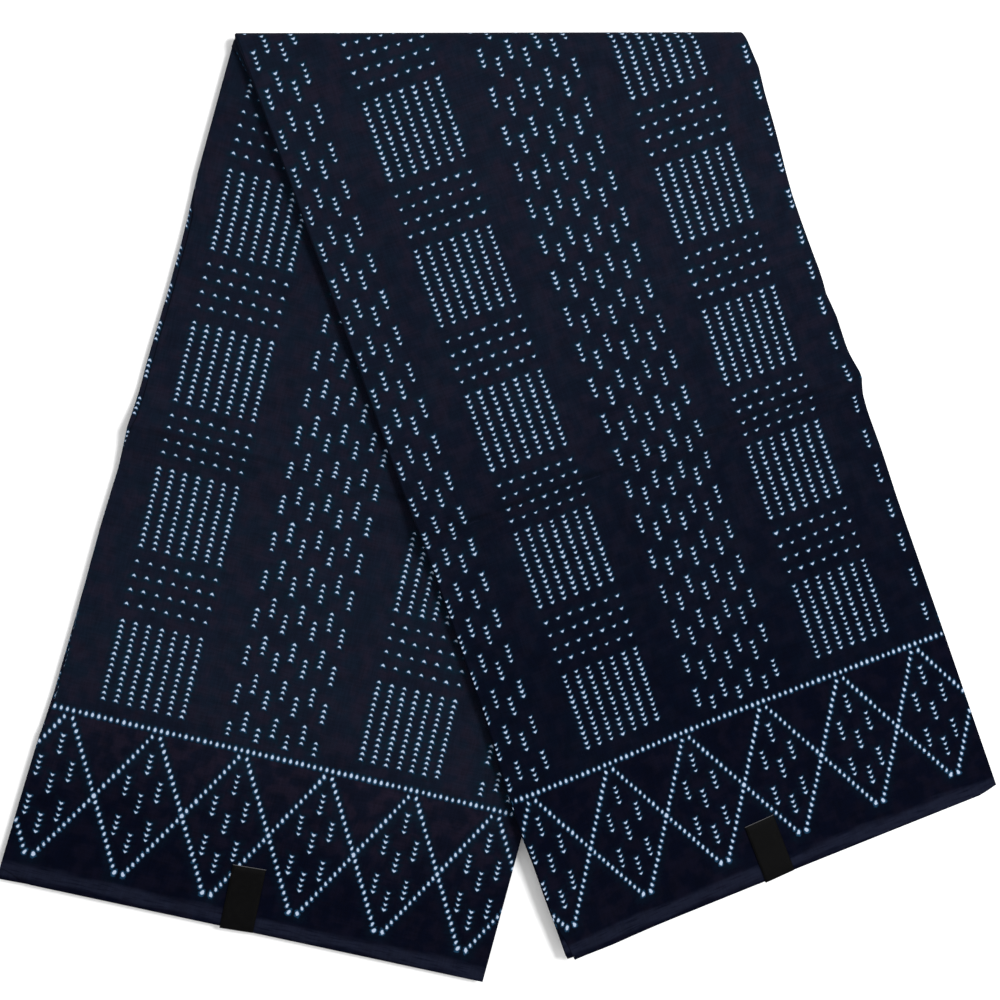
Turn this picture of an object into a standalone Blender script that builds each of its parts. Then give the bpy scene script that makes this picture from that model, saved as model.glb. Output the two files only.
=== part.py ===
"""African wax print fabric: a length of cloth folded back and forth into a flat strip,
which is folded once more over a slanting crease and lies as an upside-down V."""

import math

import bmesh
import bpy
from mathutils import Matrix, Vector

# Driving dimensions, in metres and degrees
PANEL_WIDTH = 0.3048  # one panel of the folded cloth, from side fold to side fold
LEFT_LENGTH = 0.5335  # top crease to the left hem, along the strip's left edge
RIGHT_LENGTH = 0.6195  # top crease to the right hem, along the strip's left edge
LEFT_LEAN = 18.1  # the left leg runs this far to the left of the -Y direction
RIGHT_LEAN = 16.9  # and the right leg this far to its right

PLIES = 5  # layers modelled in each leg
CLOTH = 0.001  # thickness of one layer
PLY_PITCH = 0.0016  # one layer to the next, middle to middle
LEG_GAP = 0.001  # between the left leg and the right leg that lies on it

LEFT_QUARTER = 0.2485  # top crease to the left leg's old fold line, along the strip's left edge
RIGHT_QUARTER = 0.329  # the same on the right leg
RIDGE_HEIGHT = 0.0065
RIDGE_HALF = 0.026  # half the width of the ridge that an old fold line leaves
RIDGE_SHAPE = 1.6  # over 1, so the ridge has a crisp crest and soft feet
RIDGE_UNEVEN = 0.12  # share by which the ridge's height rises and falls along it
RIDGE_UNEVEN_LENGTH = 0.17
RIDGE_COVER = 0.05  # the left ridge dies away over this distance beside the right leg

DROP_START = 0.022  # past the left leg's edge the right leg starts to come down
DROP_REACH = 0.060  # and is on the ground this much farther on
SPRING_HEIGHT = 0.0022  # the right leg bulges a little below the top crease
SPRING_REACH = 0.15

EDGE_WAVE = 0.0009  # how far a side fold wanders in and out
WAVES = 2.4  # waves of each side fold along one leg
WAVE_SHIFT = 1.9  # so that no two folds wander alike

TAB_WIDTH = 0.021
TAB_LENGTH = 0.042
TAB_THICKNESS = 0.001
TAB_LIP = 0.0028  # how far the tab turns down past the hem
TAB_MIDDLES = (0.1425, 0.1505)  # across the strip, on the left and the right leg
TAB_TURNS = (3.0, 2.0)  # each tab sits a little askew
CLEARANCE = 0.0003  # between a tab and the cloth

# Mesh steps
PANEL_STEPS = 7
FOLD_STEPS = 3
BEND_STEPS = 6
HEM_STEPS = 6
TOP_STEPS = 5
RIDGE_STEPS = (1.0, 0.6, 0.28, 0.0, -0.28, -0.6, -1.0)

# Side edges, lowest layer of the left leg first: how far each stands out past the strip,
# in millimetres. Even rows are on the strip's left side and odd rows on its right side.
# Columns: at the left hem, at the top crease, at the right hem
SIDE_EDGES = (
    (-2.5, 0.0, 0.5),
    (-1.0, -1.5, 7.0),
    (-3.5, -1.0, -4.0),
    (0.0, -2.0, 3.0),
    (3.5, -1.0, -5.0),
    (-0.5, -2.0, 3.5),
)

# Hems, lowest layer of the left leg first: how far each corner falls short, in millimetres.
# Columns: left leg's left corner and right corner, right leg's left corner and right corner
HEM_CORNERS = (
    (0.0, 1.5, 5.0, 4.5),
    (0.5, 0.5, 4.0, 3.5),
    (1.0, 0.0, 1.0, 1.0),
    (5.0, 1.0, 0.0, 0.0),
    (6.5, 2.0, 0.5, 0.5),
)

LEFT, RIGHT = -1, 1
LEAN = {LEFT: math.radians(LEFT_LEAN), RIGHT: math.radians(RIGHT_LEAN)}
LENGTH = {LEFT: LEFT_LENGTH, RIGHT: RIGHT_LENGTH}
QUARTER = {LEFT: LEFT_QUARTER, RIGHT: RIGHT_QUARTER}
MM = 0.001

LEG_HEIGHT = (PLIES - 1) * PLY_PITCH + CLOTH
AXIS_HEIGHT = LEG_HEIGHT + LEG_GAP / 2  # the top crease bends round a line at this height
BEND_REACH = AXIS_HEIGHT  # from that line to the crease's outer edge
COLUMN_STEPS = PLIES * PANEL_STEPS + (PLIES - 1) * FOLD_STEPS
LEG_STEPS = HEM_STEPS + len(RIDGE_STEPS) - 1 + TOP_STEPS
ROW_STEPS = 2 * LEG_STEPS + BEND_STEPS


def mix(a, b, share):
    return a + (b - a) * share


def smooth(share):
    share = min(max(share, 0.0), 1.0)
    return share * share * (3 - 2 * share)


def plan(side, across, along):
    """A point of a leg on the ground plan, from its place across and along the strip."""
    turn = side * LEAN[side]
    return Vector((
        across * math.cos(turn) + along * math.sin(turn),
        across * math.sin(turn) - along * math.cos(turn),
    ))


def strip_place(side, x, y):
    """The reverse of plan: how far across and along a leg's strip a ground point is."""
    turn = side * LEAN[side]
    return (
        x * math.cos(turn) + y * math.sin(turn),
        x * math.sin(turn) - y * math.cos(turn),
    )


def crease_place(side, across):
    """How far along the strip the straight part of a leg meets the bend of the top crease."""
    turn = side * LEAN[side]
    return (BEND_REACH + across * math.sin(turn)) / math.cos(turn)


def level_height(level):
    """Middle height of a layer in a flat leg, counted from the left leg's lowest layer."""
    return CLOTH / 2 + level * PLY_PITCH


def ridge(side, x, y):
    """Height of the ridge along a leg's old fold line."""
    across, along = strip_place(side, x, y)
    away = abs(along - QUARTER[side]) / RIDGE_HALF
    height = RIDGE_HEIGHT * max(1 - away, 0.0) ** RIDGE_SHAPE
    height *= 1 + RIDGE_UNEVEN * math.sin(math.tau * across / RIDGE_UNEVEN_LENGTH)
    if side == LEFT:
        to_right_leg = -strip_place(RIGHT, x, y)[0]
        height *= smooth(to_right_leg / RIDGE_COVER)
    return height


def right_underside(x, y):
    """The right leg lies on the left leg and comes down to the ground beside it."""
    beyond = strip_place(LEFT, x, y)[0] - PANEL_WIDTH
    resting = (LEG_HEIGHT + LEG_GAP) * (1 - smooth((beyond - DROP_START) / DROP_REACH))
    from_crease = min(max(-(y + BEND_REACH) / SPRING_REACH, 0.0), 1.0)
    return resting + SPRING_HEIGHT * math.sin(math.pi * from_crease) ** 2


def section(column):
    """One column of the sheet in the back-and-forth section: share across the strip,
    level in the stack, bulge of a side fold, and the side edge it ends at, if any."""
    ply, step = divmod(column, PANEL_STEPS + FOLD_STEPS)
    forward = ply % 2 == 0
    if step <= PANEL_STEPS:
        share = step / PANEL_STEPS
        edge = {0: ply, PANEL_STEPS: ply + 1}.get(step)
        return (share if forward else 1 - share), ply, 0.0, edge
    angle = math.pi * (step - PANEL_STEPS) / FOLD_STEPS
    bulge = math.sin(angle) * PLY_PITCH / 2
    return (1.0 if forward else 0.0), ply + (1 - math.cos(angle)) / 2, bulge, ply + 1


def place_across(share, bulge, edge, row):
    """Distance across the strip, with the side edges uneven and a little wavy."""
    if edge is None:
        return share * PANEL_WIDTH
    at_left_hem, at_crease, at_right_hem = SIDE_EDGES[edge]
    hem_share = row * 2 / ROW_STEPS - 1
    stands_out = MM * mix(at_crease, at_left_hem if hem_share < 0 else at_right_hem, abs(hem_share))
    wave = EDGE_WAVE * math.sin(math.tau * WAVES * hem_share + WAVE_SHIFT * edge)
    outward = 1 if edge % 2 else -1
    return share * PANEL_WIDTH + outward * (stands_out + wave + bulge)


def hem_shortfall(side, share, level):
    """How much short of the full length a layer's hem ends, most at its corners."""
    lower = min(int(level), PLIES - 2)
    columns = (0, 1) if side == LEFT else (2, 3)
    left, right = (
        mix(HEM_CORNERS[lower][c], HEM_CORNERS[lower + 1][c], level - lower) for c in columns
    )
    return MM * (left * (1 - share) ** 3 + right * share ** 3)


def along_leg(side, step, across, share, level):
    """Distance along the strip of one row of a leg, counted from its hem."""
    foot = QUARTER[side] + RIDGE_HALF
    if step < HEM_STEPS:
        place = mix(LENGTH[side], foot, step / HEM_STEPS)
        return place - (hem_shortfall(side, share, level) if step == 0 else 0.0)
    step -= HEM_STEPS
    if step < len(RIDGE_STEPS):
        return QUARTER[side] + RIDGE_HALF * RIDGE_STEPS[step]
    step -= len(RIDGE_STEPS) - 1
    return mix(QUARTER[side] - RIDGE_HALF, crease_place(side, across), step / TOP_STEPS)


def bend_point(across, height, turned):
    """A point of the top crease, where the stack turns over from the left leg to the right."""
    start = plan(LEFT, across, crease_place(LEFT, across))
    end = plan(RIGHT, across, crease_place(RIGHT, across))
    radius = AXIS_HEIGHT - height
    angle = math.pi * turned
    return Vector((
        mix(start.x, end.x, turned),
        radius * math.sin(angle) - BEND_REACH,
        AXIS_HEIGHT - radius * math.cos(angle),
    ))


def sheet_point(column, row):
    """A point of the folded sheet. Rows run from the left hem over the crease to the right hem."""
    share, level, bulge, edge = section(column)
    across = place_across(share, bulge, edge, row)
    height = level_height(level)
    if row <= LEG_STEPS:
        x, y = plan(LEFT, across, along_leg(LEFT, row, across, share, level))
        return Vector((x, y, height + ridge(LEFT, x, y)))
    if row < LEG_STEPS + BEND_STEPS:
        return bend_point(across, height, (row - LEG_STEPS) / BEND_STEPS)
    x, y = plan(RIGHT, across, along_leg(RIGHT, ROW_STEPS - row, across, share, level))
    return Vector((x, y, right_underside(x, y) + ridge(RIGHT, x, y) + LEG_HEIGHT - height))


def make_material(name, colour, roughness):
    material = bpy.data.materials.new(name)
    material.use_nodes = True
    shader = material.node_tree.nodes["Principled BSDF"]
    shader.inputs["Base Color"].default_value = (*colour, 1.0)
    shader.inputs["Roughness"].default_value = roughness
    shader.inputs["Metallic"].default_value = 0.0
    return material


def make_object(name, bm, material, collection):
    mesh = bpy.data.meshes.new(name)
    bm.to_mesh(mesh)
    bm.free()
    mesh.materials.append(material)
    made = bpy.data.objects.new(name, mesh)
    collection.objects.link(made)
    return made


def make_cloth(collection):
    """The whole cloth: one grid laid on the folded form, then given its thickness."""
    bm = bmesh.new()
    bmesh.ops.create_grid(bm, x_segments=COLUMN_STEPS, y_segments=ROW_STEPS, size=0.5)
    for vert in bm.verts:
        column = round((vert.co.x + 0.5) * COLUMN_STEPS)
        row = round((vert.co.y + 0.5) * ROW_STEPS)
        vert.co = sheet_point(column, row)
    bmesh.ops.triangulate(bm, faces=bm.faces, quad_method="SHORT_EDGE")
    cotton = make_material("wax print cotton", (0.008, 0.011, 0.03), 0.75)
    cloth = make_object("cloth", bm, cotton, collection)
    thick = cloth.modifiers.new("thickness", "SOLIDIFY")
    thick.thickness = CLOTH
    thick.offset = 0.0
    return cloth


def make_tab(name, side, middle, turn, material, collection):
    """A small ribbon tab that lies on the top layer and turns down over the hem."""
    front = LENGTH[side] + CLEARANCE + TAB_THICKNESS
    top = LEG_HEIGHT + CLEARANCE + TAB_THICKNESS
    profile = ((front - TAB_LENGTH, top), (front, top), (front, top - TAB_LIP))
    pivot = plan(side, middle, front)
    askew = Matrix.Rotation(math.radians(turn), 2)
    bm = bmesh.new()
    bmesh.ops.create_grid(bm, x_segments=1, y_segments=2, size=0.5)
    for vert in bm.verts:
        along, height = profile[round((0.5 - vert.co.y) * 2)]
        from_pivot = plan(side, middle + vert.co.x * TAB_WIDTH, along) - pivot
        vert.co = Vector((*(pivot + askew @ from_pivot), height))
    tab = make_object(name, bm, material, collection)
    thick = tab.modifiers.new("thickness", "SOLIDIFY")
    thick.thickness = TAB_THICKNESS
    thick.offset = -1.0
    thick.use_even_offset = True
    return tab


def stand_at_centre(pieces, collection):
    """Parent the pieces to an empty, placed so that they stand centred over the origin."""
    depsgraph = bpy.context.evaluated_depsgraph_get()
    corners = []
    for piece in pieces:
        mesh = bpy.data.meshes.new_from_object(piece.evaluated_get(depsgraph))
        corners += [vert.co.copy() for vert in mesh.vertices]
        bpy.data.meshes.remove(mesh)
    low = Vector(min(corner[axis] for corner in corners) for axis in range(3))
    high = Vector(max(corner[axis] for corner in corners) for axis in range(3))
    crease_corner = bpy.data.objects.new("crease_corner", None)
    collection.objects.link(crease_corner)
    crease_corner.location = (-(low.x + high.x) / 2, -(low.y + high.y) / 2, -low.z)
    for piece in pieces:
        piece.parent = crease_corner


def main():
    for old in list(bpy.data.objects):
        bpy.data.objects.remove(old, do_unlink=True)
    collection = bpy.data.collections.new("african_wax_print_fabric")
    bpy.context.scene.collection.children.link(collection)
    satin = make_material("black satin ribbon", (0.004, 0.004, 0.005), 0.35)
    pieces = [make_cloth(collection)]
    names = ("left_hem_tab", "right_hem_tab")
    for name, side, middle, turn in zip(names, (LEFT, RIGHT), TAB_MIDDLES, TAB_TURNS):
        pieces.append(make_tab(name, side, middle, turn, satin, collection))
    stand_at_centre(pieces, collection)


main()
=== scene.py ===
"""African wax print fabric: one length of cotton folded back and forth into a flat strip,
folded once more over a slanting crease, with a ribbon tab sewn at the hem of each leg."""

import math

import bmesh
import bpy
from mathutils import Matrix, Vector, noise


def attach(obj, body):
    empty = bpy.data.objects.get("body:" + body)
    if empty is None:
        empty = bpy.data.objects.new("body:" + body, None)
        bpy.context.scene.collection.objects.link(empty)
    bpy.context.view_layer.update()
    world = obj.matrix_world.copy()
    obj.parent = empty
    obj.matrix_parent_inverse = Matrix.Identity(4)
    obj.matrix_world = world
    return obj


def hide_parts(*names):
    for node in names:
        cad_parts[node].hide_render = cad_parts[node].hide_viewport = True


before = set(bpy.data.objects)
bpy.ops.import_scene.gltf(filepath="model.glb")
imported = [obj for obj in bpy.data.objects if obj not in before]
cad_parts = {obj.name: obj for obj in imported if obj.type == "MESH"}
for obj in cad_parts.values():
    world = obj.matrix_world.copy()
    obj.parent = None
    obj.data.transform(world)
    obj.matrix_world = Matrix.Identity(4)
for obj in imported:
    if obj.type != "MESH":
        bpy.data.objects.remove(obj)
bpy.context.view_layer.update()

bl_info = {
    "name": "African wax print fabric",
    "version": (1, 0, 0),
    "blender": (4, 5, 0),
    "location": "3D Viewport > Sidebar > Wax print",
    "description": "Builds a folded length of wax print cotton with two ribbon tabs",
    "category": "Object",
}

MM = 0.001
LEFT, RIGHT = -1, 1

# The folded strip, in metres: measured from the left end of the top crease
CREASE_CORNER = Vector((-0.154966, 0.300936, 0.0))
LEAN = {LEFT: math.radians(18.1), RIGHT: math.radians(16.9)}
LENGTH = {LEFT: 0.5335, RIGHT: 0.6195}
QUARTER = {LEFT: 0.2485, RIGHT: 0.329}
RIDGE_HALF = {LEFT: 0.026, RIGHT: 0.026}
RIDGE_SHAPE = 1.6
RIDGE_COVER = 0.085
LEG_GAP = 0.001
DROP_START = 0.010
DROP_REACH = 0.100
SPRING_HEIGHT = 0.0022
SPRING_REACH = 0.15

# Back-and-forth section: the last two panels change places, so the free end is tucked under
PANELS = 18
LEVELS = (*range(16), 17, 16)
TOP_PANEL = {LEFT: 16, RIGHT: 0}

# Grid of the cloth
SHOWN_STEPS = 46
HIDDEN_STEPS = 11
FOLD_STEPS = 3
BEND_STEPS = 10
LOWER_STEPS = {LEFT: 20, RIGHT: 24}
UPPER_STEPS = {LEFT: 16, RIGHT: 24}
RIDGE_ROWS = (1.0, 0.8, 0.6, 0.42, 0.27, 0.15, 0.07, 0.025, 0.0)
RIDGE_ROWS += tuple(-row for row in RIDGE_ROWS[-2::-1])
EDGE_SHARE = 0.002
HEM_RIM = 0.0006

# How far each side of the stack stands out past the strip, in millimetres, along each leg,
# measured against the outline in the photograph
SIDE_LINES = {
    (LEFT, LEFT): ((0, -0.3), (89, -0.4), (124, -1.8), (164, -1.9), (205, -0.9), (223, -1.2),
                   (248, -0.6), (275, -1.2), (310, -0.2), (359, -0.3), (419, 0.3), (440, 1.5),
                   (471, 2.3), (527, 3.3)),
    (LEFT, RIGHT): ((0, -0.6), (300, -1.0), (534, -0.8)),
    (RIGHT, LEFT): ((0, 0.3), (60, 0.0), (104, -0.4), (150, -0.8), (185, -1.3), (291, -1.6),
                    (330, -2.0), (350, -2.7), (411, -2.5), (455, -2.1), (490, 0.2), (508, 0.6),
                    (530, 1.3), (546, 0.4), (561, 0.5), (578, 0.7), (594, 0.2), (619, 0.2)),
    (RIGHT, RIGHT): ((102, 0.8), (118, 2.3), (134, 0.7), (161, -0.4), (188, -1.9), (202, -2.0),
                     (216, -1.2), (229, -0.2), (257, 2.0), (270, 1.3), (284, 3.4), (311, 3.2),
                     (325, 4.7), (339, 2.8), (352, 3.2), (380, 4.1), (414, 3.9), (503, 5.6),
                     (619, 7.2)),
}
# The cut end of the top panel draws back from the right leg's left side near the hem
CUT_END_INSET = ((0, 0.1), (560, 0.3), (594, 0.5), (606, 3.0), (619, 4.2))
# The left leg's top fold draws back here and there, so that the ply under it shows
TOP_FOLD_INSET = ((98, 0.2), (112, 3.2), (242, 3.8), (262, 0.5), (372, 0.5), (384, 1.8),
                  (428, 1.9), (440, 0.0))
UNDER_PLY = 14
# Where the print is at that ply's fold, and how far its rows are from the top ply's,
# measured in the photograph
UNDER_U = ((138, -53.5), (165, -54.0), (200, -55.2), (240, -55.2), (253, -55.0),
           (380, -53.0), (410, -53.0))
UNDER_V = ((262, 7.2), (380, -6.2))
# Inner layers of the right leg start further left, as they turn over nearer to the legs:
# the shift for each unit of depth, by the place along the leg
STAGGER = ((0, 0.63), (12, 0.55), (34, 0.0))

# Soft unevenness of the top panels, in millimetres and degrees:
# leg, across, along, half length, half width, turn from the strip's length, height
SOFT_PLACES = (
    (RIGHT, 60, 40, 42, 9, 75, 1.3),
    (RIGHT, 80, 62, 20, 8, 20, 1.0),
    (RIGHT, 276, 200, 46, 9, -8, 1.5),
    (RIGHT, 292, 205, 50, 6, -8, -1.0),
    (RIGHT, 44, 127, 34, 12, 0, 1.2),
    (RIGHT, 120, 420, 60, 22, 15, 0.5),
    (RIGHT, 230, 500, 70, 18, -20, 0.5),
    (LEFT, 60, 330, 60, 20, 10, 0.5),
    (LEFT, 190, 430, 70, 16, -15, 0.5),
    (LEFT, 90, 150, 60, 18, -10, 0.5),
)

# Print, in millimetres: u runs along the cloth's length and v from hem to hem
REPEAT_U = 162.5
REPEAT_V = 95.5
FIRST_MARK_V = 406.0
BLOCK_LINE_PITCH, BLOCK_MARK_PITCH = 8.2, 3.48
SINGLE_START, SINGLE_PITCH = 59.4, 8.8
DASH_COLUMN_PITCH, DASH_MARK_PITCH = 9.15, 3.37
BORDER_COLUMN_PITCH, BORDER_DASH_PITCH, BORDER_MARK_PITCH = 9.7, 24.8, 3.5
LINE_PITCH = 3.869
DIAMOND_MIDDLE = 47.3
STRAND_START = (2.6, 4.7)
STRAND_STEP = (2.042, 3.55)
BORDER_V = {LEFT: 108.2, RIGHT: 1042.3}
APEX_U = {LEFT: 12.7, RIGHT: -15.9}
HEM_TO_HEM = 1155.0
PANEL_U = 306.6
START_U = -83.0
CREASE_V = 534.0
# A further shift of the right leg's print beside the top crease, by the place across,
# from the middle values of the marks' offsets there
CREASE_SHIFT_U = ((30, -0.5), (75, 0.0), (105, 0.3), (130, -1.0), (190, -1.0), (215, 0.6),
                  (285, 0.3))
CREASE_SHIFT_V = ((15, 3.1), (45, 2.8), (75, 1.1), (105, 1.1), (135, 2.2), (195, 3.0),
                  (215, -1.0), (240, -0.4), (285, 0.1))
OLD_FOLD_V = {LEFT: 285.6, RIGHT: 863.4}
# How the print drifts over each top panel, in millimetres, fitted by least squares to the
# centres of the marks in the photograph: weights of
# 1, t, s, tt, ts, ss, ttt, tts, tss, sss, across and along the strip
DRIFT_U = {
    LEFT: (-3.626, 7.159, 26.036, -21.478, 25.899,
           -77.472, -0.788, 25.545, -45.684, 66.402),
    RIGHT: (-3.466, 19.85, 3.596, -33.836, 3.771,
            -14.204, 13.335, 9.734, -20.586, 18.391),
}
DRIFT_V = {
    LEFT: (-2.148, 8.634, 8.583, -11.454, 0.604,
           -13.323, -3.732, 22.86, -19.608, 5.662),
    RIGHT: (-4.337, -1.866, 22.145, 3.26, 12.105,
            -34.646, -0.801, -5.272, -13.097, 16.011),
}


def mix(a, b, share):
    return a + (b - a) * share


def smooth(share):
    share = min(max(share, 0.0), 1.0)
    return share * share * (3 - 2 * share)


def along_line(points, place):
    """The height of a line of straight pieces at one place."""
    if place <= points[0][0]:
        return points[0][1]
    for (start, low), (end, high) in zip(points, points[1:]):
        if place <= end:
            return mix(low, high, (place - start) / (end - start))
    return points[-1][1]


def plan(side, across, along):
    """A point of a leg on the ground plan, from its place across and along the strip."""
    turn = side * LEAN[side]
    return Vector((
        across * math.cos(turn) + along * math.sin(turn),
        across * math.sin(turn) - along * math.cos(turn),
    ))


def strip_place(side, x, y):
    """The reverse of plan: how far across and along a leg's strip a ground point is."""
    turn = side * LEAN[side]
    return (
        x * math.cos(turn) + y * math.sin(turn),
        x * math.sin(turn) - y * math.cos(turn),
    )


def drift(weights, across, along):
    t, s = across / 0.3, along / 0.6
    powers = (1, t, s, t * t, t * s, s * s, t ** 3, t * t * s, t * s * s, s ** 3)
    return sum(weight * power for weight, power in zip(weights, powers))


def print_place(side, across, along):
    """Where a point of a leg's top panel is in the print, in millimetres."""
    t, s = across / MM, along / MM
    du = drift(DRIFT_U[side], across, along)
    dv = drift(DRIFT_V[side], across, along)
    if side == RIGHT:
        taken_up = 4.3 * smooth((s - 310) / 40)
        from_crease = s - 8 - 0.304 * t
        near_crease = 1 - smooth(from_crease / 80)
        du -= near_crease * (0.478 + 0.00179 * t)
        dv += near_crease * (2.134 - 0.00299 * t)
        beside = 1 - smooth(from_crease / mix(100, 55, smooth(t / 45)))
        du += beside * along_line(CREASE_SHIFT_U, t)
        dv += beside * along_line(CREASE_SHIFT_V, t)
        return t + START_U + du, FIRST_MARK_V + 2 * REPEAT_V + s - 64.2 + taken_up + dv
    near_crease = 1 - smooth((s - 30) / 100)
    du += 3.0 * near_crease
    dv += 0.9 * near_crease
    taken_up = 4.2 * smooth((s - 230) / 40)
    return (
        t - 52.3 - 0.027 * (s - 400) + du + 30 * REPEAT_U,
        FIRST_MARK_V + 48.7 - (s - 80.8 + taken_up + dv),
    )


class FoldedSheet:
    """The cloth's form: the place in space and in the print of each point of its grid."""

    def __init__(self, sizes):
        self.width = sizes.panel_width
        self.thickness = sizes.cloth_thickness
        self.leg_height = sizes.leg_height
        self.ridge_height = sizes.ridge_height
        self.pitch = (self.leg_height - self.thickness) / (PANELS - 1)
        self.axis_height = self.leg_height + LEG_GAP / 2
        self.columns = self.list_columns()
        self.rows = self.list_rows()

    def list_columns(self):
        """Panel, share of the way across, level in the stack and bulge of the side fold."""
        columns = []
        for panel, level in enumerate(LEVELS):
            steps = SHOWN_STEPS if panel in TOP_PANEL.values() else HIDDEN_STEPS
            shares = [0.0, EDGE_SHARE, *(i / steps for i in range(1, steps)), 1 - EDGE_SHARE, 1.0]
            if panel % 2:
                shares.reverse()
            columns += [(panel, share, level, 0.0) for share in shares]
            if panel == PANELS - 1:
                break
            rise = LEVELS[panel + 1] - level
            for step in range(1, FOLD_STEPS):
                angle = math.pi * step / FOLD_STEPS
                bulge = math.sin(angle) * abs(rise) * self.pitch / 2
                columns.append((panel, shares[-1], level + rise * (1 - math.cos(angle)) / 2, bulge))
        return columns

    def list_rows(self):
        """Leg, part of the leg and how far through that part, from hem to hem."""
        legs = {}
        for side in (LEFT, RIGHT):
            lower, upper = LOWER_STEPS[side], UPPER_STEPS[side]
            legs[side] = [(side, "lower", 0.0), (side, "rim", 0.0)]
            legs[side] += [(side, "lower", i / lower) for i in range(1, lower)]
            legs[side] += [(side, "ridge", row) for row in RIDGE_ROWS]
            legs[side] += [(side, "upper", i / upper) for i in range(1, upper + 1)]
        bend = [(0, "bend", i / BEND_STEPS) for i in range(1, BEND_STEPS)]
        return legs[LEFT] + bend + legs[RIGHT][::-1]

    def crease_place(self, side, across):
        """How far along the strip the straight part of a leg meets the bend."""
        turn = side * LEAN[side]
        return (self.axis_height + across * math.sin(turn)) / math.cos(turn)

    def edge_out(self, edge, side, along):
        """How far one side fold stands out. Even folds are on the strip's left side."""
        left_side = edge % 2 == 0
        s = along / MM
        out = along_line(SIDE_LINES[side, LEFT if left_side else RIGHT], s)
        if edge == 0 and side == RIGHT:
            return out - along_line(CUT_END_INSET, s)
        if edge == PANELS:
            return out - 6.0 - 1.5 * math.sin(s / 90)
        if edge == 16 and side == LEFT:
            return out - along_line(TOP_FOLD_INSET, s)
        leading = {(LEFT, True): UNDER_PLY, (LEFT, False): 17, (RIGHT, True): 2, (RIGHT, False): 1}
        if edge == leading[side, left_side]:
            return out
        inset = 0.45 + 0.4 * math.sin(2.4 * edge + 0.5 * side)
        inset += 0.3 * math.sin(math.tau * s / (250 + 13 * edge) + 1.9 * edge)
        if side == LEFT and left_side:
            inset += (3.4 + 1.6 * math.sin(1.3 * edge)) * smooth((s - 440) / 90)
        if side == RIGHT and left_side:
            inset *= 1.0 - 0.5 * smooth((s - 440) / 90)
        if side == RIGHT and not left_side:
            inset *= 1.6
        return out - max(inset, 0.0)

    def hem_place(self, side, panel, share):
        """How far along the strip a panel's hem is."""
        if side == RIGHT:
            hem = 619.6 + 2.9 * share ** 1.5 - 2.6 * smooth((share - 0.96) / 0.04)
            hem -= 1.4 * (1 - smooth(share / 0.1))
            if panel:
                hem -= 0.7 + 0.6 * math.sin(1.7 * panel + 0.4)
                hem -= 3.2 * (1 - smooth(share / 0.05)) * (0.8 + 0.2 * math.sin(2.1 * panel))
                hem -= 1.2 * smooth((share - 0.9) / 0.1) * (1 + math.sin(1.1 * panel))
            return hem * MM
        hem = 533.2 - 0.9 * share
        if panel == TOP_PANEL[LEFT]:
            return (hem - 6.3 * (1 - smooth(share / 0.06))) * MM
        hem -= 0.8 + 0.7 * math.sin(1.9 * panel + 1.0)
        hem += 0.8 * (1 - smooth(share / 0.08)) - (6.0 if panel == 17 and share < 0.05 else 0.0)
        return hem * MM

    def ridge(self, side, x, y):
        """Height of the ridge that an old fold line leaves across a leg."""
        across, along = strip_place(side, x, y)
        wander = 0.0012 * math.sin(across / 0.055 + side)
        away = abs(along - QUARTER[side]) / RIDGE_HALF[side]
        height = self.ridge_height * max(1 - away, 0.0) ** RIDGE_SHAPE
        height *= 1 + 0.13 * math.sin(math.tau * across / 0.17) + 40 * wander
        if side == LEFT:
            height *= smooth(-strip_place(RIGHT, x, y)[0] / RIDGE_COVER)
        return height

    def right_underside(self, x, y):
        """The right leg lies on the left leg and comes down to the ground beside it."""
        beyond = strip_place(LEFT, x, y)[0] - self.width
        resting = (self.leg_height + LEG_GAP) * (1 - smooth((beyond - DROP_START) / DROP_REACH))
        from_crease = min(max(-(y + self.axis_height) / SPRING_REACH, 0.0), 1.0)
        return resting + SPRING_HEIGHT * math.sin(math.pi * from_crease) ** 2

    def relief(self, side, across, along):
        """Soft troughs and swells of a top panel, and a slight unevenness everywhere."""
        t, s = across / MM, along / MM
        height = 0.35 * noise.noise(Vector((t / 70, s / 95, 3.0 * side)))
        height += 0.16 * noise.noise(Vector((t / 26, s / 38, 7.0 * side)))
        for leg, middle, place, half_length, half_width, turn, rise in SOFT_PLACES:
            if leg != side:
                continue
            turn = math.radians(turn)
            dt, ds = t - middle, s - place
            lengthwise = (ds * math.cos(turn) + dt * math.sin(turn)) / half_length
            sideways = (dt * math.cos(turn) - ds * math.sin(turn)) / half_width
            height += rise * math.exp(-lengthwise ** 2 - sideways ** 2)
        inside = smooth(min(t, self.width / MM - t) / 12)
        return height * MM * inside * smooth((LENGTH[side] - along) / 0.03)

    def layer_height(self, panel, level, share, side, along, across):
        """Middle height of a layer. Hidden layers are packed closer inside the stack."""
        height = self.thickness / 2 + level * self.pitch
        if panel in TOP_PANEL.values():
            return height
        inside = smooth(min(share, 1 - share) / 0.09)
        inside *= smooth((LENGTH[side] - along) / 0.03)
        inside *= smooth((along - self.crease_place(side, across)) / 0.03)
        middle = self.leg_height / 2
        return middle + (height - middle) * (1 - 0.35 * inside)

    def bend_point(self, across, height, turned):
        """A point of the top crease, where the stack turns over from leg to leg."""
        start = plan(LEFT, across, self.crease_place(LEFT, across))
        end = plan(RIGHT, across, self.crease_place(RIGHT, across))
        radius = self.axis_height - height
        rise = radius * math.sin(math.pi * turned)
        from_left = start.x + rise * math.tan(LEAN[LEFT])
        from_right = end.x - rise * math.tan(LEAN[RIGHT])
        return Vector((
            mix(from_left, from_right, smooth(turned)),
            rise - self.axis_height,
            self.axis_height - radius * math.cos(math.pi * turned),
        ))

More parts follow.
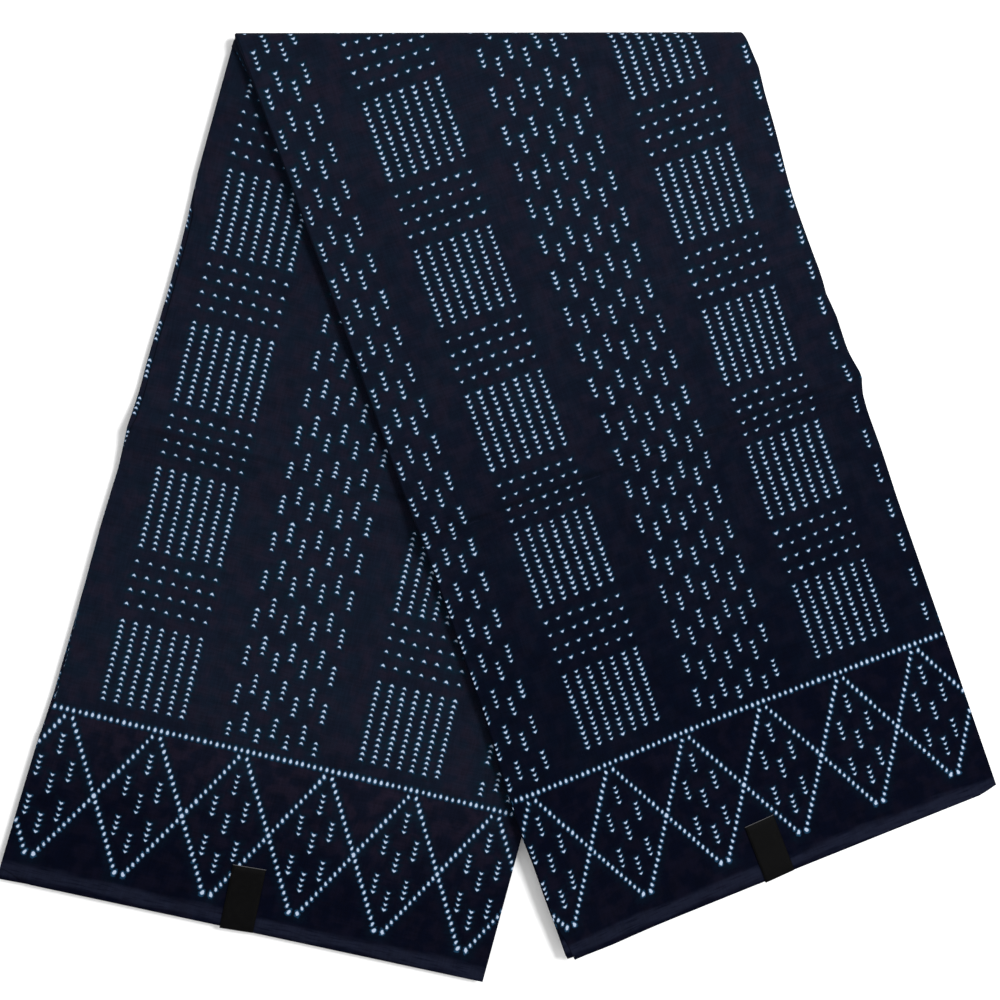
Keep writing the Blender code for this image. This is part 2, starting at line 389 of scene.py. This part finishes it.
    def across_place(self, column, side, along_left, along_right):
        """How far across the strip, between the side folds that a panel joins."""
        panel, share, level, bulge = column
        left_edge, right_edge = (panel + 1, panel) if panel % 2 else (panel, panel + 1)
        left = -self.edge_out(left_edge, side, along_left) * MM
        right = self.width + self.edge_out(right_edge, side, along_right) * MM
        across = mix(left, right, share) + (bulge if share > 0.5 else -bulge)
        if side == RIGHT:
            along = mix(along_left, along_right, share)
            across -= level * self.pitch * along_line(STAGGER, along / MM)
        return across

    def edge_u(self, edge, side, along):
        """Where the print is at a side fold: as seen on the top panels, else evenly spaced."""
        if side == RIGHT and edge < 2:
            return print_place(RIGHT, edge * self.width, along)[0]
        if side == LEFT and edge in (16, 17):
            return print_place(LEFT, (edge - 16) * self.width, along)[0]
        if side == LEFT and edge == UNDER_PLY:
            return 26 * REPEAT_U + along_line(UNDER_U, along / MM)
        return edge * PANEL_U + START_U

    def crease_v(self, panel, side, share):
        """Where the print is at the end of a leg, with the bend's length between the two."""
        arc = math.pi * (self.axis_height - self.thickness / 2 - LEVELS[panel] * self.pitch) / MM
        across = share * self.width
        for top_side in (LEFT, RIGHT):
            if panel == TOP_PANEL[top_side]:
                own = print_place(top_side, across, self.crease_place(top_side, across))[1]
                return own if side == top_side else own + side * arc
        return CREASE_V + side * arc / 2

    def leg_print(self, panel, share, side, across, along):
        """Where a point of a leg is in the print."""
        if panel == TOP_PANEL[side]:
            return print_place(side, across, along)
        left_edge, right_edge = (panel + 1, panel) if panel % 2 else (panel, panel + 1)
        u = mix(self.edge_u(left_edge, side, along), self.edge_u(right_edge, side, along), share)
        if side == LEFT and panel == UNDER_PLY:
            return u, print_place(LEFT, across, along)[1] + along_line(UNDER_V, along / MM)
        start = self.crease_place(side, across)
        hem = self.hem_place(side, panel, share)
        hem_v = 0.0 if side == LEFT else HEM_TO_HEM
        gone = (along - start) / (hem - start)
        return u, mix(self.crease_v(panel, side, share), hem_v, gone)

    def point(self, column, row):
        """Place in space and in the print of one point of the grid."""
        panel, share, level, _ = self.columns[column]
        side, part, amount = self.rows[row]
        if part == "bend":
            ends = []
            for leg in (LEFT, RIGHT):
                sides = (self.crease_place(leg, end) for end in (0.0, self.width))
                across = self.across_place(self.columns[column], leg, *sides)
                along = self.crease_place(leg, across)
                ends.append((across, *self.leg_print(panel, share, leg, across, along)))
            across, u, v = (mix(a, b, amount) for a, b in zip(*ends))
            height = self.thickness / 2 + level * self.pitch
            return self.bend_point(across, height, amount), (u, v)
        hem = self.hem_place(side, panel, share)
        foot = QUARTER[side] + RIDGE_HALF[side]
        if part == "lower":
            along = mix(hem, foot, amount)
        elif part == "rim":
            along = hem - HEM_RIM
        elif part == "ridge":
            along = QUARTER[side] + RIDGE_HALF[side] * amount
        if part == "upper":
            top = QUARTER[side] - RIDGE_HALF[side]
            sides = (mix(top, self.crease_place(side, end), amount) for end in (0.0, self.width))
            across = self.across_place(self.columns[column], side, *sides)
            along = mix(top, self.crease_place(side, across), amount)
        else:
            across = self.across_place(self.columns[column], side, along, along)
        x, y = plan(side, across, along)
        height = self.layer_height(panel, level, share, side, along, across)
        if side == LEFT:
            z = height + self.ridge(LEFT, x, y)
        else:
            z = self.right_underside(x, y) + self.ridge(RIGHT, x, y) + self.leg_height - height
        if panel == TOP_PANEL[side]:
            z += self.relief(side, across, along)
        return Vector((x, y, z)), self.leg_print(panel, share, side, across, along)


class Term:
    """A socket in a sum: each operator adds one Math node to the same finish."""

    def __init__(self, finish, socket):
        self.finish = finish
        self.socket = socket

    def maths(self, operation, *others):
        terms = dict(enumerate((self, *others)))
        return self.finish.add("Math", {"operation": operation}, terms)

    def __add__(self, other):
        return self.maths("ADD", other)

    __radd__ = __add__

    def __sub__(self, other):
        return self.maths("SUBTRACT", other)

    def __rsub__(self, other):
        return self.finish.add("Math", {"operation": "SUBTRACT"}, {0: other, 1: self})

    def __mul__(self, other):
        return self.maths("MULTIPLY", other)

    __rmul__ = __mul__

    def __truediv__(self, other):
        return self.maths("DIVIDE", other)

    def __lt__(self, other):
        return self.maths("LESS_THAN", other)

    def __gt__(self, other):
        return self.maths("GREATER_THAN", other)

    def __abs__(self):
        return self.maths("ABSOLUTE")

    def wrapped(self, length):
        """The distance to the nearest whole multiple of a length, with its sign."""
        return self.maths("WRAP", length / 2, -length / 2)

    def nearest(self, pitch, low, high):
        """The number of the nearest mark of a row of marks from low to high."""
        return (self / pitch).maths("ROUND").maths("MAXIMUM", low).maths("MINIMUM", high)

    def ease(self, start, end):
        """A smooth step from 0 at start to 1 at end."""
        return self.finish.add(
            "MapRange",
            {"interpolation_type": "SMOOTHSTEP"},
            {"Value": self, "From Min": start, "From Max": end},
        )


class Finish:
    """A material under the hand: add puts in one node and gives back one of its outputs."""

    def __init__(self, name, roughness):
        self.material = bpy.data.materials.new(name)
        self.material.use_nodes = True
        self.tree = self.material.node_tree
        self.shader = self.tree.nodes["Principled BSDF"]
        self.shader.inputs["Roughness"].default_value = roughness

    def join(self, value, socket):
        if isinstance(value, Term):
            self.tree.links.new(value.socket, socket)
        else:
            socket.default_value = value

    def add(self, kind, settings=None, inputs=None, output=0):
        node = self.tree.nodes.new("ShaderNode" + kind)
        for name, value in (settings or {}).items():
            setattr(node, name, value)
        for name, value in (inputs or {}).items():
            self.join(value, node.inputs[name])
        return Term(self, node.outputs[output])

    def blend(self, share, first, second):
        """One colour laid over another by a share from 0 to 1."""
        colours = {0: share, 6: first, 7: second}
        return self.add("Mix", {"data_type": "RGBA"}, colours, 2)

    def choose(self, mask, off, on):
        """One of two numbers, by a mask that is 0 or 1."""
        return self.add("Mix", {"data_type": "FLOAT"}, {0: mask, 2: off, 3: on})

    def place(self, x, y, z=0.0):
        return self.add("CombineXYZ", None, {0: x, 1: y, 2: z})

    def cloud(self, place, scale, detail=2.0, output=0, dimensions="3D"):
        settings = {"noise_dimensions": dimensions}
        inputs = {"Vector": place, "Scale": scale, "Detail": detail}
        return self.add("TexNoise", settings, inputs, output)

    def split(self, vector):
        return [self.add("SeparateXYZ", None, {0: vector}, axis) for axis in range(3)]


class WaxPrint(Finish):
    """Printed cotton. The repeat is charted; its drift over the cloth is fitted."""

    def __init__(self, colours):
        super().__init__("wax print cotton", 0.86)
        uv = self.add("UVMap", {"uv_map": "print"})
        u, v, _ = self.split(uv)
        self.u, self.v = u * 1000, v * 1000
        self.shader.inputs["Specular IOR Level"].default_value = 0.03
        core, halo, glow = self.marks()
        ground = self.ground(colours, glow)
        colour = self.blend(halo, ground, (*colours.halo, 1))
        colour = self.blend(core, colour, (*colours.mark, 1))
        self.join(colour, self.shader.inputs["Base Color"])
        self.weave()

    def field_marks(self):
        """Blocks of seven lines of marks, rows of single marks and broken dashes between."""
        u, v = self.u, self.v
        block_u = u.wrapped(REPEAT_U)
        block_x = block_u - block_u.nearest(BLOCK_LINE_PITCH, -3, 3) * BLOCK_LINE_PITCH
        in_block = v - FIRST_MARK_V + 5
        in_block = in_block.maths("FLOORED_MODULO", REPEAT_V) - 5
        line_y = in_block - in_block.nearest(BLOCK_MARK_PITCH, 0, 14) * BLOCK_MARK_PITCH
        single = in_block - SINGLE_START
        single_y = single - single.nearest(SINGLE_PITCH, 0, 3) * SINGLE_PITCH
        singles = in_block > 54.0
        block_y = self.choose(singles, line_y, single_y)
        dash_u = (u - REPEAT_U / 2).wrapped(REPEAT_U)
        dash = dash_u.nearest(DASH_COLUMN_PITCH, -3, 3)
        dash_x = dash_u - dash * DASH_COLUMN_PITCH
        odd = abs(dash.maths("FLOORED_MODULO", 2.0))
        in_dash = v - FIRST_MARK_V - 1.0 + odd * 8.2 + 5
        in_dash = in_dash.maths("FLOORED_MODULO", REPEAT_V / 4) - 5
        dash_y = in_dash - in_dash.nearest(DASH_MARK_PITCH, 0, 3) * DASH_MARK_PITCH
        dashes = abs(block_u) > 39.0
        x = self.choose(dashes, block_x, dash_x)
        y = self.choose(dashes, block_y, dash_y)
        middle = v - y
        inside = (middle > BORDER_V[LEFT] + 7) * (middle < BORDER_V[RIGHT] - 7)
        small = singles * (1 - dashes)
        return x, y, inside, small

    def border_place(self):
        """Place in the border: from the nearest apex, and outward from the border line."""
        right = self.v > HEM_TO_HEM / 2
        outward = self.choose(right, BORDER_V[LEFT] - self.v, self.v - BORDER_V[RIGHT])
        aside = self.choose(right, APEX_U[LEFT] - self.u, self.u - APEX_U[RIGHT])
        return aside, outward

    def marks(self):
        """Pale cores and blue halos of every mark."""
        x, y, inside, small = self.field_marks()
        aside, outward = self.border_place()
        border = outward > -3.0
        from_apex = aside.wrapped(REPEAT_U / 3)
        column = from_apex.nearest(BORDER_COLUMN_PITCH, -1, 1)
        side_column = abs(column)
        dash_x = from_apex - column * BORDER_COLUMN_PITCH
        dash_middle = outward - 21.4 - side_column * 15.45
        dash = dash_middle.nearest(BORDER_DASH_PITCH, 0, 2).maths("MINIMUM", 2 - side_column)
        dash_y = dash_middle - dash * BORDER_DASH_PITCH + 5.25
        dash_y = dash_y - dash_y.nearest(BORDER_MARK_PITCH, 0, 3) * BORDER_MARK_PITCH
        x = self.choose(border, x, dash_x)
        y = self.choose(border, y, dash_y)
        inside = self.choose(border, inside, 1.0)
        small = self.choose(border, small, 0.0)
        middle_u = self.choose(border, self.u, aside) - x
        middle_v = self.choose(border, self.v, outward) - y
        shift_x, shift_y, size = self.unevenness(middle_u, middle_v)
        across = (x + shift_x) / (size * (1.22 - small * 0.1))
        bent = 0.55 * abs(x + shift_x) + 0.12 * (x + shift_x) - 0.33
        lengthwise = (y + shift_y + bent) / (size * 0.68)
        chevron = across * across + lengthwise * lengthwise + (1 - inside) * 20
        away = self.line_and_diamonds(from_apex, outward, aside)
        away = self.choose(border, 20.0, away)
        nearest = chevron.maths("MINIMUM", away)
        core = 1 - nearest.ease(0.55, 1.15)
        halo = 1 - nearest.ease(0.9, 4.0)
        return core, halo * 0.8, 1 - nearest.ease(1.5, 32.0)

    def unevenness(self, middle_u, middle_v):
        """Each mark has its own small shift and size, as hand-tied marks have."""
        place = self.place(middle_u * 0.37, middle_v * 0.37)
        shift_x, shift_y, size = self.split(self.cloud(place, 1.0, 0.0, 1, "2D"))
        return shift_x * 0.8 - 0.4, shift_y * 0.8 - 0.4, size * 0.5 + 0.71

    def line_and_diamonds(self, from_apex, outward, aside):
        """The border line's marks and the crossed strands that hang from it."""
        line_x = (from_apex - LINE_PITCH / 2).wrapped(LINE_PITCH)
        aside_apex = abs(from_apex)
        folded = DIAMOND_MIDDLE - abs(outward - DIAMOND_MIDDLE)
        step_x, step_y = STRAND_STEP
        strand_x = aside_apex - STRAND_START[0]
        strand_y = folded - STRAND_START[1]
        steps = (strand_x * step_x + strand_y * step_y) / (step_x ** 2 + step_y ** 2)
        step = steps.nearest(1.0, 0, 12)
        strand_x = strand_x - step * step_x
        strand_y = strand_y - step * step_y
        on_line = outward < 2.5
        x = self.choose(on_line, strand_x, line_x)
        y = self.choose(on_line, strand_y, outward)
        shift_x, shift_y, size = self.unevenness(aside - x, outward - y + 31)
        x, y = x + shift_x * 0.6, y + shift_y * 0.6
        lean = math.radians(22)
        sine = self.choose(on_line, math.sin(lean), 0.0)
        cosine = self.choose(on_line, math.cos(lean), 1.0)
        lengthwise = y * cosine - x * sine
        across = x * cosine + y * sine
        crossing = (step > 11.5) * (outward > 3.0)
        tip = (step < 0.5) * (outward > 60.0)
        size = size * (1 + crossing * 0.25 + tip * 0.3)
        taper = 1 + lengthwise * 0.12 * self.choose(outward > DIAMOND_MIDDLE, 1.0, -1.0)
        across = across / (size * (0.84 + crossing * 0.2) * taper)
        lengthwise = lengthwise / (size * 1.29)
        return across * across + lengthwise * lengthwise

    def ground(self, colours, glow):
        """Blue-black ground, paler and browner towards the crease, part dye tone and part painted
        sheen: brown clouds, teal round the marks, and painted shade with a painted highlight along
        the old fold lines.
        """
        from_right = HEM_TO_HEM - self.v
        from_hem = self.v.maths("MINIMUM", from_right)
        place = self.place(self.u, self.v)
        brown, teal, dark = self.split(self.cloud(place, 0.085, 3.0, 1))
        # Painted sheen: the ground grows paler and browner away from both hems, towards the crease;
        # the hue is partly the dye's own tone
        tone_and_sheen = self.v.ease(35.0, 150.0) * from_right.ease(80.0, 560.0)
        tone_and_sheen = tone_and_sheen + self.cloud(place, 0.012, 2.0) * 0.5 - 0.25
        tone_and_sheen = tone_and_sheen.maths("MAXIMUM", 0.0).maths("MINIMUM", 1.0)
        colour = self.blend(tone_and_sheen, (*colours.blue_ground, 1), (*colours.brown_ground_and_sheen, 1))
        brown = brown.ease(0.42, 0.62) * (1 - glow) * (tone_and_sheen * 0.8 + 0.15)
        colour = self.blend(brown, colour, (*colours.purple_ground, 1))
        teal = (teal.ease(0.4, 0.65) * 0.6 + 0.35) * glow * (tone_and_sheen * 0.7 + 0.25)
        colour = self.blend(teal, colour, (*colours.teal_ground, 1))
        wavy = from_hem + self.cloud(self.place(self.u * 0.03, self.v * 0.15), 1.0, 3.0) * 9 - 4.5
        selvage = (1 - wavy.ease(8.0, 13.0)) * wavy.ease(1.0, 4.5)
        streaks = self.cloud(self.place(self.u * 0.08, self.v * 0.9), 1.0, 4.0)
        colour = self.blend(selvage * streaks.ease(0.2, 0.6), colour, (*colours.selvage, 1))
        crossing = self.cloud(self.place(self.u * 0.9, self.v * 0.1), 1.0, 3.0)
        streaks = streaks.ease(0.35, 0.65) + crossing.ease(0.35, 0.65) + dark.ease(0.4, 0.7)
        # Painted shade and a painted highlight along the old fold lines, laid over the weave's own
        # streaks
        painted_fold_shade, wear_and_highlight = self.fold_shade_and_highlight()
        colour = self.blend(wear_and_highlight, colour, (*colours.selvage, 1))
        shade = 1 - (1 - streaks * 0.14) * (1 - painted_fold_shade)
        return self.blend(shade, colour, (0.0, 0.0, 0.0, 1))

    def fold_shade_and_highlight(self):
        """Painted shade along each old fold line, with a thin painted highlight here and there."""
        right = self.v > HEM_TO_HEM / 2
        wander = self.cloud(self.place(self.u * 0.05, 0.0), 1.0, 2.0)
        below = self.choose(right, OLD_FOLD_V[LEFT] - self.v, self.v - OLD_FOLD_V[RIGHT])
        below = below + wander * 4 - 2
        # A band of painted shade along each fold line, and a thin painted highlight beside it
        painted_fold_shade = 1 - abs(below + 0.8).ease(0.3, 3.4)
        wear_and_highlight = (1 - abs(below - 1.8).ease(0.1, 0.6)) * wander.ease(0.5, 0.62)
        return painted_fold_shade * (wander * 0.5), wear_and_highlight * 0.5

    def weave(self):
        """Fine threads both ways, with a little slub."""
        warp = (self.u * (math.tau / 0.36)).maths("SINE")
        weft = (self.v * (math.tau / 0.36)).maths("SINE")
        slub = self.cloud(self.place(self.u * 0.9, self.v * 0.08), 1.0, 2.0)
        slub = slub + self.cloud(self.place(self.u * 0.08, self.v * 0.9), 1.0, 2.0)
        height = warp * weft * 0.25 + slub
        inputs = {"Strength": 0.25, "Distance": 0.0003, "Height": height}
        self.join(self.add("Bump", None, inputs), self.shader.inputs["Normal"])


class BlackRibbon(Finish):
    """Black satin ribbon with fine ribs across and a firmer edge."""

    def __init__(self, colours):
        super().__init__("black satin ribbon", 0.42)
        u, v, _ = self.split(self.add("UVMap", {"uv_map": "ribbon"}))
        u, v = u * 1000, v * 1000
        self.shader.inputs["Specular IOR Level"].default_value = 0.04
        cloud = self.cloud(self.place(u, v), 0.25, 3.0)
        edge = abs(u).ease(9.2, 10.2)
        wear_and_highlight = cloud.ease(0.4, 0.8) * 0.5 + edge * 0.3
        # A pale line along the ribbon's folded end: painted highlight
        fold = 1 - abs(v).ease(0.15, 0.6)
        colour = self.blend(wear_and_highlight, (*colours.ribbon, 1), (*colours.ribbon_worn, 1))
        colour = self.blend(fold * 0.8, colour, (*colours.ribbon_fold_highlight, 1))
        self.join(colour, self.shader.inputs["Base Color"])
        self.join(0.38 + cloud * 0.2, self.shader.inputs["Roughness"])
        ribs = (v * (math.tau / 0.5)).maths("SINE")
        threads = (u * (math.tau / 0.3)).maths("SINE")
        height = ribs * 0.5 + threads * 0.25 + edge * 1.5
        inputs = {"Strength": 0.3, "Distance": 0.0002, "Height": height}
        self.join(self.add("Bump", None, inputs), self.shader.inputs["Normal"])


def length(name, description, default, low=0.0001, high=2.0):
    return bpy.props.FloatProperty(
        name=name, description=description, default=default, min=low, max=high,
        unit="LENGTH", subtype="DISTANCE", precision=5,
    )


def colour(name, description, default):
    return bpy.props.FloatVectorProperty(
        name=name, description=description, default=default, size=3, min=0.0, max=1.0,
        subtype="COLOR",
    )


class WaxPrintSizes(bpy.types.PropertyGroup):
    """Sizes of the folded cloth."""

    panel_width: length("Panel width", "One panel, from side fold to side fold", 0.3048)
    cloth_thickness: length("Cloth thickness", "Thickness of one layer", 0.00024)
    leg_height: length("Leg height", "Height of the whole stack of a leg", 0.0074)
    ridge_height: length("Ridge height", "Height of an old fold line", 0.0067)


class WaxPrintColours(bpy.types.PropertyGroup):
    """Colours of the cotton and the ribbon."""

    blue_ground: colour("Blue ground", "Ground colour near the hems", (0.0004, 0.0011, 0.0058))
    # Brown ground: the dye's tone near the crease, made paler by painted sheen
    brown_ground_and_sheen: colour("Brown ground", "Ground colour near the crease", (0.0046, 0.0060, 0.0140))
    purple_ground: colour("Purple ground", "Clouds in the ground", (0.0105, 0.0074, 0.0158))
    teal_ground: colour("Teal ground", "Around the marks", (0.0022, 0.0098, 0.0185))
    selvage: colour("Selvage", "Paler band beside each hem", (0.0075, 0.0095, 0.021))
    mark: colour("Mark", "Undyed core of a mark", (0.34, 0.41, 0.525))
    halo: colour("Halo", "Blue around a mark", (0.0110, 0.0480, 0.1000))
    ribbon: colour("Ribbon", "Black satin", (0.0005, 0.0005, 0.0006))
    ribbon_worn: colour("Worn ribbon", "Rubbed places of the satin", (0.0022, 0.0022, 0.0022))
    # Painted highlight along the ribbon's folded end
    ribbon_fold_highlight: colour("Ribbon fold", "Line along the ribbon's folded end", (0.20, 0.20, 0.21))


class RibbonSizes(bpy.types.PropertyGroup):
    """Sizes of a ribbon tab."""

    width: length("Tab width", "Width of the ribbon", 0.0208)
    reach: length("Tab length", "From the folded end to the hem", 0.0392)
    lip: length("Tab lip", "How far the ribbon turns down past the hem", 0.003)
    thickness: length("Ribbon thickness", "Thickness of the ribbon", 0.00032)


class StageSizes(bpy.types.PropertyGroup):
    """Camera, floor and light."""

    lens: bpy.props.FloatProperty(
        name="Lens", description="Focal length on a 36 mm sensor", default=50.0, unit="CAMERA"
    )
    floor_size: length("Floor size", "Side of the pale floor", 8.0, 1.0, 40.0)
    floor_tone: bpy.props.FloatProperty(
        name="Floor tone", description="Paleness of the floor", default=0.9, min=0, max=1,
        subtype="FACTOR",
    )
    key_power: bpy.props.FloatProperty(
        name="Key light", description="Power of the soft light", default=33.0, unit="POWER"
    )
    sky_strength: bpy.props.FloatProperty(
        name="Sky strength", description="Strength of the even light", default=0.85, min=0
    )


def make_object(name, bm, material):
    mesh = bpy.data.meshes.new(name)
    bm.to_mesh(mesh)
    bm.free()
    mesh.materials.append(material)
    made = bpy.data.objects.new(name, mesh)
    bpy.context.scene.collection.objects.link(made)
    return made


def grid_on(columns, rows, map_name, place):
    """A grid laid out by place, which gives a point and its place on the flat cloth."""
    bm = bmesh.new()
    bmesh.ops.create_grid(bm, x_segments=columns, y_segments=rows, size=0.5)
    bm.verts.index_update()
    flat = {}
    for vert in bm.verts:
        column = round((vert.co.x + 0.5) * columns)
        row = round((vert.co.y + 0.5) * rows)
        vert.co, flat[vert.index] = place(column, row)
    layer = bm.loops.layers.uv.new(map_name)
    for face in bm.faces:
        face.smooth = True
        for loop in face.loops:
            loop[layer].uv = flat[loop.vert.index]
    return bm


def give_thickness(piece, thickness):
    thick = piece.modifiers.new("thickness", "SOLIDIFY")
    thick.thickness = thickness
    thick.offset = 0.0


class FoldCloth(bpy.types.Operator):
    """Fold the length of printed cotton into its strip, over the crease and down both legs"""

    bl_idname = "wax_print.fold_cloth"
    bl_label = "Fold the cloth"
    bl_options = {"REGISTER", "UNDO"}

    def execute(self, context):
        sheet = FoldedSheet(context.scene.wax_print_sizes)

        def place(column, row):
            point, (u, v) = sheet.point(column, row)
            return point + CREASE_CORNER, (u * MM, v * MM)

        bm = grid_on(len(sheet.columns) - 1, len(sheet.rows) - 1, "print", place)
        cotton = WaxPrint(context.scene.wax_print_colours).material
        cloth = make_object("folded_cloth", bm, cotton)
        give_thickness(cloth, sheet.thickness)
        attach(cloth, "root")
        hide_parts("cloth")
        return {"FINISHED"}


class SewTabs(bpy.types.Operator):
    """Lay a black ribbon tab on each leg and turn it down over the hem"""

    bl_idname = "wax_print.sew_tabs"
    bl_label = "Sew on the ribbon tabs"
    bl_options = {"REGISTER", "UNDO"}

    # Leg, middle across the strip, hem along the strip, turn in degrees
    TABS = {
        "left_hem_tab": (LEFT, 0.1439, 0.5324, 3.3),
        "right_hem_tab": (RIGHT, 0.1505, 0.6201, 2.0),
    }

    def execute(self, context):
        sizes = context.scene.wax_print_ribbon
        satin = BlackRibbon(context.scene.wax_print_colours).material
        for name, (side, middle, hem, turn) in self.TABS.items():
            top = context.scene.wax_print_sizes.leg_height
            path = self.ribbon_path(sizes, top, hem)
            pivot = plan(side, middle, hem)
            askew = Matrix.Rotation(math.radians(turn), 2)
            lengths = [0.0]
            for a, b in zip(path, path[1:]):
                lengths.append(lengths[-1] + math.dist(a, b))
            fold_at = lengths[4]

            def place(column, row):
                aside = column / 12 - 0.5
                along, height = path[row]
                crown = 0.00008 * math.sin(row * 0.9) + 0.0001 * (1 - (2 * aside) ** 2)
                from_pivot = plan(side, middle + aside * sizes.width, along) - pivot
                point = Vector((*(pivot + askew @ from_pivot), height + crown))
                return point + CREASE_CORNER, (aside * sizes.width, lengths[row] - fold_at)

            bm = grid_on(12, len(path) - 1, "ribbon", place)
            tab = make_object("ribbon_" + name, bm, satin)
            give_thickness(tab, sizes.thickness)
            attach(tab, "root")
            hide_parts(name)
        return {"FINISHED"}

    @staticmethod
    def ribbon_path(sizes, top, hem):
        """Side view of the ribbon: tucked end, fold, flat run, and the turn over the hem."""
        low, high = top + 0.00032, top + 0.00092
        front = hem + 0.0003
        end = front - sizes.reach
        path = [(end + 0.007, low), (end + 0.003, low), (end + 0.0006, low)]
        middle, radius = (low + high) / 2, (high - low) / 2
        path += [(end - radius * math.sin(a), middle - radius * math.cos(a))
                 for a in (math.radians(step) for step in (0, 60, 120, 180))]
        path += [(mix(end, front, i / 12), mix(high, top + 0.0007, smooth(i / 3)))
                 for i in range(1, 12)]
        bend = 0.0006
        path += [(front + bend * math.sin(a), top + bend * math.cos(a))
                 for a in (math.radians(step) for step in (0, 22, 45, 68, 90))]
        path += [(front + bend, top - sizes.lip * share) for share in (0.35, 0.7, 1.0)]
        return path


class SetStage(bpy.types.Operator):
    """Set up the pale floor, the soft light and the camera at the photograph's angle"""

    bl_idname = "wax_print.set_stage"
    bl_label = "Set the stage"
    bl_options = {"REGISTER", "UNDO"}

    def execute(self, context):
        stage = context.scene.wax_print_stage
        self.lay_floor(stage)
        self.light(context.scene, stage)
        lens = bpy.data.cameras.new("camera")
        lens.lens = stage.lens
        lens.sensor_width = 36.0
        lens.sensor_fit = "HORIZONTAL"
        camera = bpy.data.objects.new("camera", lens)
        context.scene.collection.objects.link(camera)
        turn = Matrix((
            (0.98769595, 0.05171334, -0.14758877),
            (-0.04646146, 0.99816568, 0.03881516),
            (0.1493253, -0.03148039, 0.98828687),
        ))
        at = Vector((0.0196, -0.2585, 0.8779)) + CREASE_CORNER
        camera.matrix_world = Matrix.Translation(at) @ turn.to_4x4()
        context.scene.camera = camera
        context.scene.view_settings.view_transform = "Standard"
        return {"FINISHED"}

    @staticmethod
    def lay_floor(stage):
        bm = bmesh.new()
        bmesh.ops.create_grid(bm, x_segments=1, y_segments=1, size=stage.floor_size / 2)
        bmesh.ops.translate(bm, verts=bm.verts, vec=(0, 0, -0.0002))
        pale = Finish("pale floor", 0.9)
        place = pale.add("TexCoord", None, None, 3)
        cloud = pale.cloud(place, 3.0, 3.0)
        tone = stage.floor_tone
        tones = [(tone - dip, tone - dip, tone - dip, 1) for dip in (0.0, 0.015)]
        pale.join(pale.blend(cloud, *tones), pale.shader.inputs["Base Color"])
        floor = make_object("floor", bm, pale.material)

    @staticmethod
    def light(scene, stage):
        world = bpy.data.worlds.new("even light")
        world.use_nodes = True
        background = world.node_tree.nodes["Background"]
        background.inputs["Color"].default_value = (1.0, 1.0, 1.0, 1.0)
        background.inputs["Strength"].default_value = stage.sky_strength
        scene.world = world
        softbox = bpy.data.lights.new("softbox", "AREA")
        softbox.shape = "RECTANGLE"
        softbox.size, softbox.size_y = 0.5, 0.5
        softbox.energy = stage.key_power
        lamp = bpy.data.objects.new("softbox", softbox)
        scene.collection.objects.link(lamp)
        lamp.location = (0.8, 0.4, 1.7)
        aim = Vector((0.0, 0.0, 0.0)) - lamp.location
        lamp.rotation_euler = aim.to_track_quat("-Z", "Y").to_euler()


class WAXPRINT_PT_panel(bpy.types.Panel):
    """Builds the folded wax print cloth"""

    bl_label = "Wax print fabric"
    bl_idname = "WAXPRINT_PT_panel"
    bl_space_type = "VIEW_3D"
    bl_region_type = "UI"
    bl_category = "Wax print"

    def draw(self, context):
        scene = context.scene
        for group in GROUPS:
            box = self.layout.box()
            settings = getattr(scene, group)
            for name in settings.__annotations__:
                box.prop(settings, name)
        for operator in OPERATORS:
            self.layout.operator(operator.bl_idname)


GROUPS = {
    "wax_print_sizes": WaxPrintSizes,
    "wax_print_colours": WaxPrintColours,
    "wax_print_ribbon": RibbonSizes,
    "wax_print_stage": StageSizes,
}
OPERATORS = (FoldCloth, SewTabs, SetStage)


def register():
    for made in (*GROUPS.values(), *OPERATORS, WAXPRINT_PT_panel):
        bpy.utils.register_class(made)
    for name, group in GROUPS.items():
        setattr(bpy.types.Scene, name, bpy.props.PointerProperty(type=group))


def unregister():
    for name in GROUPS:
        delattr(bpy.types.Scene, name)
    for made in reversed((*GROUPS.values(), *OPERATORS, WAXPRINT_PT_panel)):
        bpy.utils.unregister_class(made)


def main():
    register()
    bpy.ops.wax_print.fold_cloth()
    bpy.ops.wax_print.sew_tabs()
    bpy.ops.wax_print.set_stage()
    bpy.context.view_layer.update()


if __name__ == "__main__":
    main()
